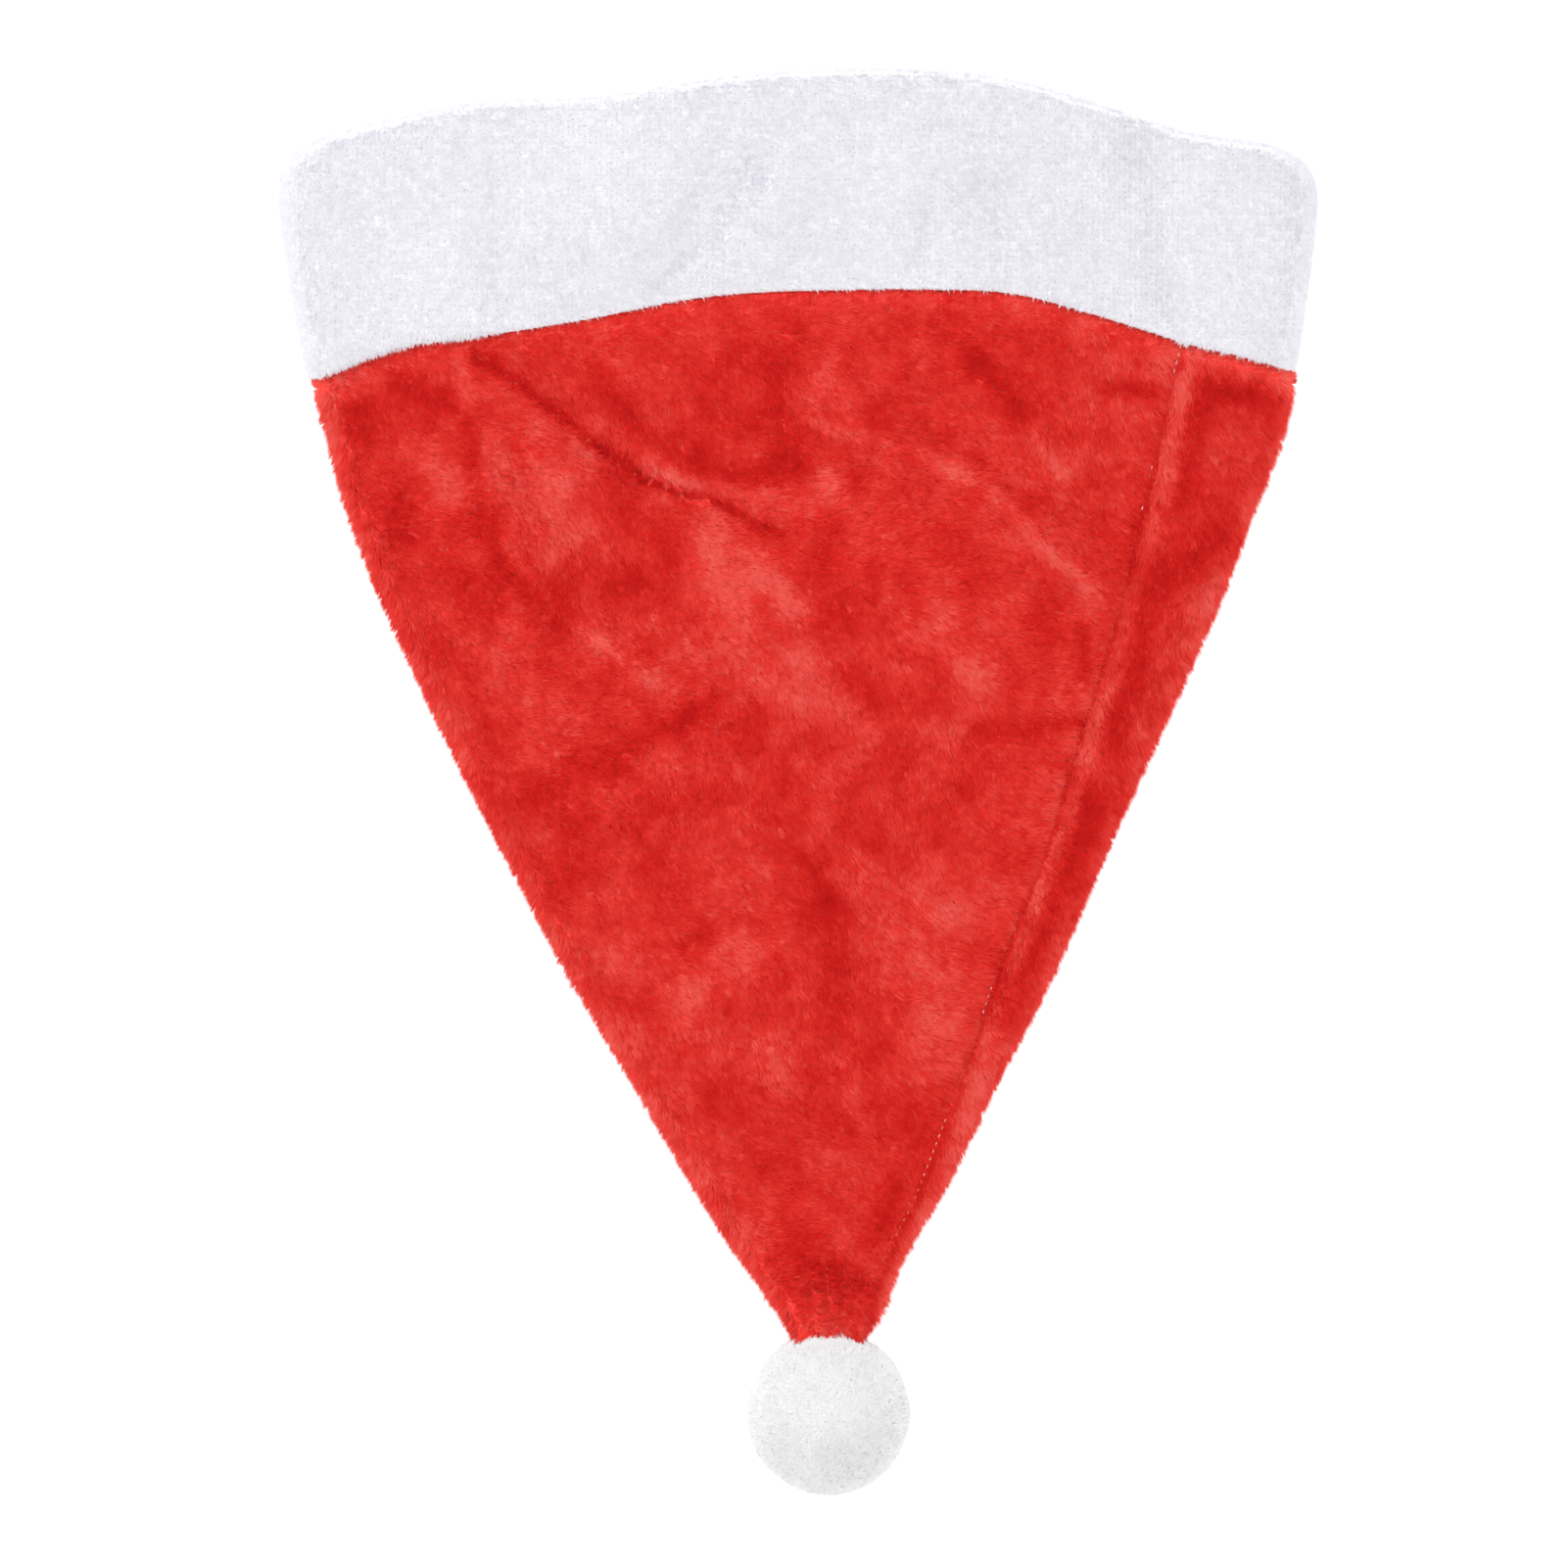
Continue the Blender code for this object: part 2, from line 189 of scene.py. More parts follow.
def pile_look(name, tones, foot, sheen):
    """tones run from the darkest hair to the lightest, and foot is the painted shade at a hair's
    foot.
    """
    look, tree, shader = soft_shader(name, 0.8, sheen, tones[-1])
    own = tree.nodes.new("ShaderNodeUVMap")
    own.uv_map = HAIR_MAP
    apart = tree.nodes.new("ShaderNodeSeparateXYZ")
    tree.links.new(own.outputs["UV"], apart.inputs["Vector"])
    tone = colour_ramp(tree, [(i / (len(tones) - 1), colour) for i, colour in enumerate(tones)])
    tree.links.new(apart.outputs["X"], tone.inputs["Fac"])
    shade = colour_ramp(tree, [(0.0, foot), (TIP_LIGHT, (1, 1, 1))])
    tree.links.new(apart.outputs["Y"], shade.inputs["Fac"])
    mix = tree.nodes.new("ShaderNodeMix")
    mix.data_type = "RGBA"
    mix.blend_type = "MULTIPLY"
    mix.inputs["Factor"].default_value = 1.0
    tree.links.new(tone.outputs["Color"], mix.inputs["A"])
    tree.links.new(shade.outputs["Color"], mix.inputs["B"])
    tree.links.new(mix.outputs["Result"], shader.inputs["Base Color"])
    return look


red_pile = pile_look("red_pile", RED_TONES, RED_FOOT_SHADE, 0.12)
white_pile = pile_look("white_pile", WHITE_TONES, WHITE_FOOT_SHADE, 0.08)
pompom_pile = pile_look("pompom_pile", POMPOM_TONES, WHITE_FOOT_SHADE, 0.08)

# %% [markdown]
# Under the pile is its ground, a fine knit. It shows inside the mouth and wherever the
# pile parts. Two waves at right angles make its ribs and courses, and a noise breaks them
# up in colour and in bump. They read Object coordinates, so the knit is the same size all over.

# %% Knit material
KNIT_PER_METRE = 420.0
KNIT_RELIEF = 0.0004


def knit_look(name, dark, light):
    look, tree, shader = soft_shader(name, 0.9, 0.25, light)
    place = tree.nodes.new("ShaderNodeTexCoord")
    ribs, courses = (tree.nodes.new("ShaderNodeTexWave") for _ in range(2))
    for wave, way in ((ribs, "X"), (courses, "Y")):
        wave.bands_direction = way
        wave.inputs["Scale"].default_value = KNIT_PER_METRE / 2
        wave.inputs["Distortion"].default_value = 1.5
        wave.inputs["Detail Scale"].default_value = 2.0
        tree.links.new(place.outputs["Object"], wave.inputs["Vector"])
    loops = tree.nodes.new("ShaderNodeMath")
    loops.operation = "MULTIPLY"
    tree.links.new(ribs.outputs["Fac"], loops.inputs[0])
    tree.links.new(courses.outputs["Fac"], loops.inputs[1])
    fuzz = tree.nodes.new("ShaderNodeTexNoise")
    fuzz.inputs["Scale"].default_value = KNIT_PER_METRE * 3
    fuzz.inputs["Detail"].default_value = 3.0
    tree.links.new(place.outputs["Object"], fuzz.inputs["Vector"])
    both = tree.nodes.new("ShaderNodeMath")
    both.operation = "ADD"
    tree.links.new(loops.outputs["Value"], both.inputs[0])
    tree.links.new(fuzz.outputs["Fac"], both.inputs[1])
    colours = colour_ramp(tree, [(0.35, dark), (1.0, light)])
    tree.links.new(both.outputs["Value"], colours.inputs["Fac"])
    tree.links.new(colours.outputs["Color"], shader.inputs["Base Color"])
    bump = tree.nodes.new("ShaderNodeBump")
    bump.inputs["Distance"].default_value = KNIT_RELIEF
    tree.links.new(both.outputs["Value"], bump.inputs["Height"])
    tree.links.new(bump.outputs["Normal"], shader.inputs["Normal"])
    return look


red_knit = knit_look("red_knit", (0.82, 0.030, 0.022), (0.94, 0.085, 0.066))
white_knit = knit_look("white_knit", (0.79, 0.785, 0.83), (0.86, 0.855, 0.89))
pompom_knit = knit_look("pompom_knit", (0.90, 0.90, 0.91), (0.97, 0.97, 0.975))
print("materials:", [look.name for look in (red_pile, white_pile, pompom_pile,
                                            red_knit, white_knit, pompom_knit)])

# %% [markdown]
# The frame's crown and band are walls of the right form with coarse faces. A copy of each
# is merged, its triangles are paired into quads, and a subdivision surface rounds it. The
# edges where the pieces are sewn together are creased first, because a subdivision would
# round them too, and a gap would open between the band and the crown.

# %% Smooth copies of the frame's shells
SUBDIVISIONS = 2
MERGE = 1e-5
CORNER = math.radians(55)    # sharper than any step round the side folds
SKEW = math.radians(70)      # how far from square a quad's corners may be
END_FACING = 0.7             # a sewn end looks along the hat, up or down it


def smooth_copy(node):
    bm = bmesh.new()
    bm.from_mesh(frame["nodes"][node].data)
    bmesh.ops.remove_doubles(bm, verts=bm.verts, dist=MERGE)
    bmesh.ops.join_triangles(bm, faces=bm.faces, angle_face_threshold=CORNER,
                             angle_shape_threshold=SKEW)
    crease = bm.edges.layers.float.new("crease_edge")
    for edge in bm.edges:
        at_end = any(abs(face.normal.y) > END_FACING for face in edge.link_faces)
        edge[crease] = float(at_end and edge.calc_face_angle(0.0) > CORNER)
    mesh = bpy.data.meshes.new(node + "_coarse")
    bm.to_mesh(mesh)
    bm.free()
    coarse = bpy.data.objects.new(node + "_coarse", mesh)
    scene.collection.objects.link(coarse)
    rounded = coarse.modifiers.new("round", "SUBSURF")
    rounded.levels = rounded.render_levels = SUBDIVISIONS
    evaluated = coarse.evaluated_get(bpy.context.evaluated_depsgraph_get())
    fine = bpy.data.meshes.new_from_object(evaluated)
    bpy.data.objects.remove(coarse)
    return fine


crown_mesh, band_mesh = smooth_copy("crown"), smooth_copy("band")
print("cloth faces:", len(crown_mesh.polygons), len(band_mesh.polygons))

# %% [markdown]
# Before the cloth is folded and combed, each of its points is asked a few things. Is it on
# the outer face? It is if it doesn't see the same cloth again when it looks out. How near
# is it to the piece it is sewn to? And what do a few slow noises say there? Reading them
# from the points later is much quicker than asking for every hair.

# %% A closer look at each cloth
SEE_AGAIN = 0.06             # how far a point of the inner face looks for the other side
SEWN_REACH = 0.005           # near the sewn edge, the pile gets shorter and turns over it
OFF_THE_CLOTH = 0.0005       # where a look out starts, so that it doesn't see its own face
NOISES = (
    # name, per metre, shift
    ("swing", 26.0, 7.0),
    ("patch", 38.0, 3.0),
    ("mottle", 95.0, 5.0),
    ("speckle", 230.0, 9.0),
    ("warp_x", 75.0, 1.0),
    ("warp_y", 75.0, 2.0),
)


def vectors_of(mesh, what):
    values = np.empty(len(mesh.vertices) * 3)
    mesh.vertices.foreach_get(what, values)
    return values.reshape(-1, 3)


def tree_of(mesh):
    faces = [tuple(face.vertices) for face in mesh.polygons]
    return BVHTree.FromPolygons(vectors_of(mesh, "co").tolist(), faces)


def study(mesh, *sewn_to):
    """The cloth's points, normals, outer face, nearness to its neighbours and noises, by name."""
    points, normals = vectors_of(mesh, "co"), vectors_of(mesh, "normal")
    own = tree_of(mesh)
    cloth = {"mesh": mesh, "points": points, "normals": normals}
    eyes = points + normals * OFF_THE_CLOTH
    cloth["outer"] = np.array([own.ray_cast(Vector(eye), Vector(normal), SEE_AGAIN)[0] is None
                               for eye, normal in zip(eyes, normals)])
    for node in sewn_to:
        other = tree_of(frame["nodes"][node].data)
        away = np.array([other.find_nearest(Vector(point))[3] for point in points])
        cloth["near_" + node] = np.clip(1 - away / SEWN_REACH, 0, 1)
    for name, per_metre, shift in NOISES:
        aside = Vector((shift, 0, 0))
        cloth[name] = np.array([noise.noise(Vector(point) * per_metre + aside) for point in points])
    return cloth


crown = study(crown_mesh, "band", "pompom")
band = study(band_mesh, "crown")
print("outer share:", round(crown["outer"].mean(), 2), round(band["outer"].mean(), 2))

# %% [markdown]
# The folds are short arcs with a soft flank and a crisp crest, and the pile catches the light along
# some of them and lies dark in others. One table holds both: each row is an arc, its rise out of the
# cloth and its tone, painted highlight above nought and painted shade below, which the hairs take on
# later. bow is the arc's height to the left of its way, and width is where it has faded.

# %% Folds of the crown, with their painted shade and highlights
STROKE_COLUMNS = ("x0", "y0", "x1", "y1", "bow", "width", "rise", "tone")
CROWN_STROKES = (
    # the sharp crease that falls from the band's left to the middle, and the ridge above it
    (-0.0890, 0.1185, -0.0545, 0.0932, 0.0012, 0.0023, -0.0014, -0.80),
    (-0.0600, 0.0960, -0.0420, 0.0855, 0.0, 0.0018, -0.0016, -1.00),
    (-0.0440, 0.0868, -0.0070, 0.0705, -0.0010, 0.0017, -0.0016, -1.10),
    (-0.0500, 0.0935, -0.0300, 0.0850, 0.0, 0.0026, 0.0008, 0.55),
    (-0.0340, 0.0860, 0.0060, 0.0740, 0.0, 0.0022, 0.0006, 0.30),
    # the dark arc above them
    (-0.0540, 0.1100, -0.0280, 0.0905, -0.0030, 0.0036, 0.0, -0.50),
    (-0.0280, 0.0905, -0.0010, 0.0885, -0.0030, 0.0045, 0.0, -0.70),
    (-0.0090, 0.1050, -0.0030, 0.0900, 0.0, 0.0060, 0.0, -0.35),
    (-0.0490, 0.1075, -0.0480, 0.1045, 0.0, 0.0030, 0.0, -0.50),
    (-0.0120, 0.1190, -0.0080, 0.1140, 0.0, 0.0055, 0.0, -0.35),
    # the long crest down to the side seam, dark above it and light below its lower end
    (0.0020, 0.1010, 0.0800, 0.0560, 0.0068, 0.0020, 0.0010, 0.42),
    (0.0200, 0.1030, 0.0600, 0.0800, 0.0040, 0.0035, -0.0005, -0.35),
    (0.0540, 0.0710, 0.0760, 0.0580, 0.0010, 0.0045, 0.0, 0.28),
    # the middle, under the crease
    (0.0030, 0.0880, 0.0060, 0.0810, 0.0, 0.0050, 0.0, 0.40),
    (0.0110, 0.0920, 0.0140, 0.0860, 0.0, 0.0048, 0.0, -0.35),
    (0.0430, 0.0700, 0.0460, 0.0640, 0.0, 0.0060, 0.0, -0.25),
    (-0.0200, 0.0640, -0.0060, 0.0560, 0.0, 0.0100, 0.0, 0.60),
    (-0.0240, 0.0510, -0.0160, 0.0460, 0.0, 0.0060, 0.0, 0.55),
    (-0.0090, 0.0480, -0.0050, 0.0420, 0.0, 0.0055, 0.0, -0.45),
    (0.0050, 0.0580, 0.0100, 0.0460, 0.0, 0.0075, 0.0, -0.35),
    # the light sweep down from the left of the band, its crest and its dark flank
    (-0.0940, 0.1180, -0.0935, 0.1070, 0.0, 0.0030, 0.0, 0.50),
    (-0.0830, 0.0980, -0.0720, 0.0800, 0.0, 0.0085, 0.0, 0.50),
    (-0.0640, 0.0920, -0.0630, 0.0760, 0.0, 0.0070, 0.0, 0.45),
    (-0.0500, 0.0870, -0.0480, 0.0780, 0.0, 0.0050, 0.0, -0.45),
    (-0.0510, 0.0560, -0.0410, 0.0550, 0.0, 0.0045, 0.0, -0.50),
    (-0.0830, 0.0682, -0.0548, 0.0391, -0.0013, 0.0018, 0.0008, 0.35),
    (-0.0548, 0.0391, -0.0292, 0.0254, -0.0010, 0.0018, 0.0006, 0.30),
    (-0.0840, 0.0590, -0.0660, 0.0450, 0.0, 0.0050, -0.0006, -0.50),
    # light and dark places of the left, from the band down
    (-0.1300, 0.1110, -0.1170, 0.1145, 0.0, 0.0045, 0.0, 0.50),
    (-0.1235, 0.1040, -0.1215, 0.0990, 0.0, 0.0045, 0.0, -0.60),
    (-0.1170, 0.0980, -0.1070, 0.0600, 0.0, 0.0100, 0.0, -0.30),
    (-0.1100, 0.1130, -0.1040, 0.1080, 0.0, 0.0050, 0.0, -0.60),
    (-0.0985, 0.1100, -0.0975, 0.1070, 0.0, 0.0030, 0.0, -0.45),
    (-0.0945, 0.1010, -0.0915, 0.0890, 0.0, 0.0032, 0.0, -0.60),
    (-0.1050, 0.0900, -0.0970, 0.0820, 0.0, 0.0065, 0.0, 0.40),
    (-0.1140, 0.0770, -0.1110, 0.0690, 0.0, 0.0045, 0.0, -0.55),
    (-0.0885, 0.0760, -0.0840, 0.0640, 0.0, 0.0045, 0.0, -0.60),
    (-0.1020, 0.0390, -0.0910, 0.0300, 0.0, 0.0034, -0.0005, -0.50),
    (-0.0890, 0.0550, -0.0870, 0.0400, 0.0, 0.0040, 0.0, -0.25),
    (-0.0755, 0.0010, -0.0705, -0.0020, 0.0, 0.0034, 0.0, -0.50),
    (-0.0560, 0.0040, -0.0300, 0.0175, 0.0010, 0.0036, -0.0006, -0.50),
    (-0.0330, 0.0180, -0.0240, 0.0230, 0.0, 0.0040, -0.0006, -0.70),
    (-0.0210, 0.0020, -0.0170, -0.0020, 0.0, 0.0040, 0.0, -0.40),
    # the lower middle
    (-0.0060, 0.0320, 0.0020, 0.0220, 0.0, 0.0085, 0.0, 0.50),
    (-0.0045, 0.0080, -0.0030, -0.0020, 0.0, 0.0030, 0.0, -0.50),
    (0.0160, 0.0290, 0.0200, 0.0240, 0.0, 0.0050, 0.0, -0.30),
    (0.0370, 0.0370, 0.0470, 0.0310, 0.0, 0.0080, 0.0, 0.45),
    (0.0785, 0.0430, 0.0770, 0.0300, 0.0, 0.0030, -0.0005, -0.60),
    (0.0500, 0.0145, 0.0790, 0.0175, 0.0010, 0.0028, -0.0008, -0.60),
    (0.0020, -0.0200, 0.0085, -0.0330, 0.0, 0.0040, 0.0, -0.50),
    (0.0085, -0.0330, 0.0120, -0.0680, 0.0, 0.0050, -0.0005, -0.42),
    (0.0250, -0.0230, 0.0390, -0.0330, 0.0, 0.0080, 0.0, 0.25),
    (0.0360, -0.0440, 0.0400, -0.0620, 0.0, 0.0100, 0.0, 0.55),
    (-0.0200, -0.0420, -0.0260, -0.0680, 0.0, 0.0110, 0.0, 0.25),
    # towards the tip
    (0.0030, -0.0760, 0.0050, -0.0810, 0.0, 0.0045, 0.0, -0.35),
    (-0.0160, -0.0940, -0.0090, -0.1040, 0.0, 0.0065, 0.0, -0.35),
    (0.0310, -0.0920, 0.0300, -0.1050, 0.0, 0.0045, 0.0, -0.40),
    (0.0160, -0.0960, 0.0140, -0.1120, 0.0, 0.0070, 0.0, 0.20),
    (0.0260, -0.1120, 0.0200, -0.1250, 0.0, 0.0045, 0.0, -0.60),
    (0.0, -0.1340, 0.0160, -0.1410, 0.0, 0.0060, -0.0006, -0.80),
    # under the band, right of the middle
    (0.0480, 0.1180, 0.0620, 0.1035, 0.0010, 0.0036, -0.0008, -0.70),
    (0.0360, 0.1260, 0.0480, 0.1180, 0.0, 0.0050, 0.0, -0.35),
    (0.0660, 0.0990, 0.0740, 0.0860, 0.0, 0.0016, 0.0004, 0.30),
    (0.0720, 0.1240, 0.0860, 0.1200, 0.0, 0.0070, 0.0, 0.35),
    (0.0850, 0.1120, 0.0990, 0.1100, 0.0, 0.0024, -0.0006, -0.60),
    # the strip right of the side seam
    (0.1100, 0.1205, 0.1370, 0.1135, 0.0, 0.0030, 0.0, 0.45),
    (0.1030, 0.1170, 0.1110, 0.1100, 0.0, 0.0045, 0.0, 0.35),
    (0.1140, 0.1115, 0.1260, 0.1075, 0.0, 0.0045, 0.0, -0.85),
    (0.1120, 0.1070, 0.1070, 0.0850, -0.0010, 0.0042, 0.0, -0.75),
    (0.1165, 0.0800, 0.1185, 0.0690, 0.0, 0.0040, 0.0, -0.45),
    (0.1110, 0.0650, 0.1000, 0.0570, 0.0, 0.0050, 0.0, -0.75),
    (0.0970, 0.0480, 0.0880, 0.0160, 0.0, 0.0050, 0.0, -0.65),
    (0.0820, -0.0020, 0.0790, -0.0130, 0.0, 0.0050, 0.0, -0.75),
    (0.0760, -0.0210, 0.0700, -0.0380, 0.0, 0.0045, 0.0, -0.65),
    (0.0640, -0.0450, 0.0580, -0.0640, 0.0, 0.0040, 0.0, -0.50),
)

# %% Folds and shaded places of the band
BAND_STROKES = (
    (-0.0840, 0.1680, -0.0830, 0.1280, 0.0, 0.0030, -0.0003, -0.35),
    (-0.0130, 0.1720, -0.0380, 0.1380, 0.0030, 0.0032, -0.0005, -0.70),
    (0.0370, 0.1580, 0.0320, 0.1400, 0.0, 0.0030, -0.0004, -0.40),
    (0.0520, 0.1660, 0.0560, 0.1480, 0.0, 0.0070, -0.0003, -0.40),
    (0.0700, 0.1640, 0.0710, 0.1480, 0.0, 0.0040, -0.0003, -0.25),
    (0.0950, 0.1780, 0.1020, 0.1300, 0.0020, 0.0050, -0.0005, -0.40),
    (0.0200, 0.1660, 0.0240, 0.1400, 0.0, 0.0120, 0.0, 0.30),
    (-0.1040, 0.1460, -0.0960, 0.1260, 0.0, 0.0120, 0.0, 0.20),
    (0.1280, 0.1600, 0.1340, 0.1280, 0.0, 0.0100, 0.0, 0.30),
)
RISE, TONE = STROKE_COLUMNS.index("rise"), STROKE_COLUMNS.index("tone")


def strokes_at(table, x, y, what):
    """Sum of the strokes' rise or tone at each place. A stroke fades past its ends too."""
    total = np.zeros_like(x)
    for row in table:
        if row[what] == 0.0:
            continue
        x0, y0, x1, y1, bow, width = row[:6]
        length = math.hypot(x1 - x0, y1 - y0)
        along = ((x - x0) * (x1 - x0) + (y - y0) * (y1 - y0)) / length ** 2
        on_line = np.clip(along, 0.0, 1.0)
        arch = 4 * bow * on_line * (1 - on_line)
        beside = ((y - y0) * (x1 - x0) - (x - x0) * (y1 - y0)) / length - arch
        away = np.hypot((along - on_line) * length, beside)
        total += row[what] * np.exp(-(away / width) ** 2)
    return total


# %% [markdown]
# Now the cloth is laid. Its outer face sinks by the depth of the pile, so that the tips of
# the hairs come back to the frame's own surface and the hat keeps its size. Round the side
# folds it is let out again, by what the subdivision rounded off. Towards a sewn edge it
# sinks less, because the stitches hold the pile flat there.

# %% Lay the cloth
CROWN_PILE_DEPTH, CROWN_LET_OUT = 0.0012, 0.0004
BAND_PILE_DEPTH, BAND_LET_OUT = 0.0006, 0.0012
RIPPLE = 0.0006              # uneven lie of the cloth between the folds
FOLDS_FACING = 0.25          # folds are laid only where the cloth looks up more than this


def lay(cloth, depth, let_out, sewn, strokes):
    points, normals, outer = cloth["points"], cloth["normals"], cloth["outer"]
    sink = (depth - let_out * (1 - np.abs(normals[:, 2]))) * (1 - sewn)
    points[outer] -= normals[outer] * sink[outer, None]
    points[:, 2] = np.maximum(points[:, 2], 0.0)
    front = outer & (normals[:, 2] > FOLDS_FACING)
    fold = strokes_at(strokes, points[:, 0], points[:, 1], RISE) + RIPPLE * cloth["patch"]
    points[front, 2] += (fold * (1 - sewn))[front]
    cloth["mesh"].vertices.foreach_set("co", points.ravel())
    cloth["mesh"].update()
    cloth["normals"] = vectors_of(cloth["mesh"], "normal")


def make_piece(name, mesh, look):
    mesh.name = name
    mesh.materials.clear()
    mesh.materials.append(look)
    piece = bpy.data.objects.new(name, mesh)
    scene.collection.objects.link(piece)
    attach(piece, "root")
    return piece


SEWN_SHUT = 0.0003           # how much of the frame's small gap the stitches draw shut
AT_THE_STITCHES = 0.5        # from 0, out of SEWN_REACH, to 1, at the next piece
crown["sewn"] = np.maximum(crown["near_band"], crown["near_pompom"])
band["sewn"] = band["near_crown"]
crown_lip = (crown["near_band"] > AT_THE_STITCHES) & (crown["normals"][:, 1] > END_FACING)
crown["points"][crown_lip, 1] += SEWN_SHUT
lay(crown, CROWN_PILE_DEPTH, CROWN_LET_OUT, crown["sewn"], CROWN_STROKES)
lay(band, BAND_PILE_DEPTH, BAND_LET_OUT, band["sewn"], BAND_STROKES)
crown_mesh.shade_smooth()
band_mesh.shade_smooth()
crown_cloth = make_piece("crown_cloth", crown_mesh, red_knit)
band_cloth = make_piece("band_cloth", band_mesh, white_knit)
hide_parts("crown")
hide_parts("band")
print("laid:", crown_cloth.name, band_cloth.name)

# %% [markdown]
# Real plush has some twenty fine hairs to the square millimetre. Blender's own hair would
# draw them, but hair isn't a mesh, so each hair here is one narrow triangle. The comb works
# in four steps. It strews feet on the cloth, tilts each hair over by the lie of the pile,
# draws neighbours together into small locks, and skins them all at once.

# %% The comb: feet
rng = np.random.default_rng(12)


def unit(vectors):
    return vectors / np.maximum(np.linalg.norm(vectors, axis=1, keepdims=True), 1e-9)


def strew(cloth, chosen, count):
    """count random feet on the faces whose points are all chosen, and the cloth's values there.
    The cut ends that are sewn together stay bare."""
    mesh = cloth["mesh"]
    mesh.calc_loop_triangles()
    corners = np.empty(len(mesh.loop_triangles) * 3, np.int32)
    mesh.loop_triangles.foreach_get("vertices", corners)
    corners = corners.reshape(-1, 3)
    corners = corners[chosen[corners].all(axis=1)]
    looks_along = np.abs(unit(cloth["normals"][corners].mean(axis=1))[:, 1]) > END_FACING
    corners = corners[~(looks_along & (cloth["sewn"][corners].min(axis=1) > AT_THE_STITCHES))]
    a, b, c = (cloth["points"][corners[:, i]] for i in range(3))
    area = np.linalg.norm(np.cross(b - a, c - a), axis=1) / 2
    picked = corners[rng.choice(len(corners), count, p=area / area.sum())]
    u, v = rng.random((2, count))
    u, v = np.where(u + v > 1, 1 - u, u), np.where(u + v > 1, 1 - v, v)
    share = np.stack((1 - u - v, u, v), axis=1)
    spot = {"area": area.sum()}
    for name, values in cloth.items():
        if name not in ("mesh", "outer"):
            weight = share[:, :, None] if values.ndim == 2 else share
            spot[name] = (values[picked] * weight).sum(axis=1)
    spot["normals"][:, 1] *= 1 - spot["sewn"]        # pile at a sewn end stands on the level cloth
    spot["normals"] = unit(spot["normals"])
    return spot


# %% The comb: lie and locks
LIE_SPREAD = 0.16            # how much the hairs' angles off the cloth differ
LIE_LEAST, LIE_MOST = 0.12, 1.35


def lay_over(spot, way, lift, wander):
    """Directions: way flattened onto the cloth, turned by up to about wander, and lifted off it."""
    normal = spot["normals"]
    count = len(normal)
    lie = unit(way - normal * (way * normal).sum(axis=1, keepdims=True))
    turn = rng.normal(0.0, wander, count)[:, None]
    lie = lie * np.cos(turn) + np.cross(normal, lie) * np.sin(turn)
    angle = np.clip(lift + rng.normal(0.0, LIE_SPREAD, count), LIE_LEAST, LIE_MOST)[:, None]
    return lie * np.cos(angle) + normal * np.sin(angle)


def into_locks(foot, tip, lock, area):
    """Which lock each hair belongs to, the one whose guide stands nearest, and the guide's number."""
    guides = rng.choice(len(foot), min(len(foot), int(area / lock ** 2)), replace=False)
    tree = KDTree(len(guides))
    for i, guide in enumerate(guides):
        tree.insert(foot[guide], i)
    tree.balance()
    member = np.array([tree.find(point)[1] for point in foot])
    return member, guides[member]


# %% [markdown]
# A hair's triangle is thin, so its own face would catch the light as a hard sliver. Its
# corners get the cloth's normals instead, bent a little along the hair. The light then
# falls on the pile as on one soft surface, which is how plush looks from a metre away.
# Round the side folds both the hair's flat side and its normal lean up, because a hair
# that turns its back would be shaded from the inside of the cloth and come out black.

# %% The comb: skin
FOOT_SUNK = 0.0003
ROLL = 0.18                  # how much the hairs' flat sides differ
BEND_NORMAL = 0.18           # how far the light follows the hair and not the cloth
LEAN_UP = 0.9
TURNED_UNDER = -0.75         # a foot whose normal points lower than this lies on the underside
MAP_LEAST, MAP_MOST = 0.01, 0.99
MAP_FOOT, MAP_TIP = 0.02, 0.98
MAP_HALF = 0.004             # half width of a hair in its map
FLOOR_CLEAR = 0.0001


def faced(normal):
    """Which way the flat side of a hair looks, from the cloth's normal at its foot."""
    round_fold = normal[:, 2] > TURNED_UNDER
    high = np.maximum(normal[:, 2], 0.0) + LEAN_UP * (1 - np.abs(normal[:, 2]))
    return unit(np.column_stack((normal[:, :2], np.where(round_fold, high, normal[:, 2]))))


def skin(name, foot, tip, normal, tone, width, look):
    count = len(foot)
    lie = unit(tip - foot)
    facing = faced(normal)
    across = unit(unit(np.cross(facing, lie)) + facing * rng.normal(0.0, ROLL, count)[:, None])
    half = across * (width / 2)[:, None]
    foot = foot - normal * FOOT_SUNK
    corners = np.stack((foot + half, foot - half, tip), axis=1).reshape(-1, 3)
    corners[:, 2] = np.maximum(corners[:, 2], FLOOR_CLEAR)
    mesh = bpy.data.meshes.new(name)
    mesh.vertices.add(count * 3)
    mesh.vertices.foreach_set("co", corners.ravel())
    mesh.loops.add(count * 3)
    mesh.loops.foreach_set("vertex_index", np.arange(count * 3, dtype=np.int32))
    mesh.polygons.add(count)
    mesh.polygons.foreach_set("loop_start", np.arange(0, count * 3, 3, dtype=np.int32))
    tone = np.clip(tone, MAP_LEAST, MAP_MOST)
    u = np.stack((tone - MAP_HALF, tone + MAP_HALF, tone), axis=1)
    v = np.tile((MAP_FOOT, MAP_FOOT, MAP_TIP), (count, 1))
    mesh.uv_layers.new(name=HAIR_MAP).data.foreach_set("uv", np.stack((u, v), axis=2).ravel())
    mesh.update(calc_edges=True)
    soft = unit(facing + lie * BEND_NORMAL)
    mesh.normals_split_custom_set_from_vertices(np.repeat(soft, 3, axis=0))
    return make_piece(name, mesh, look)


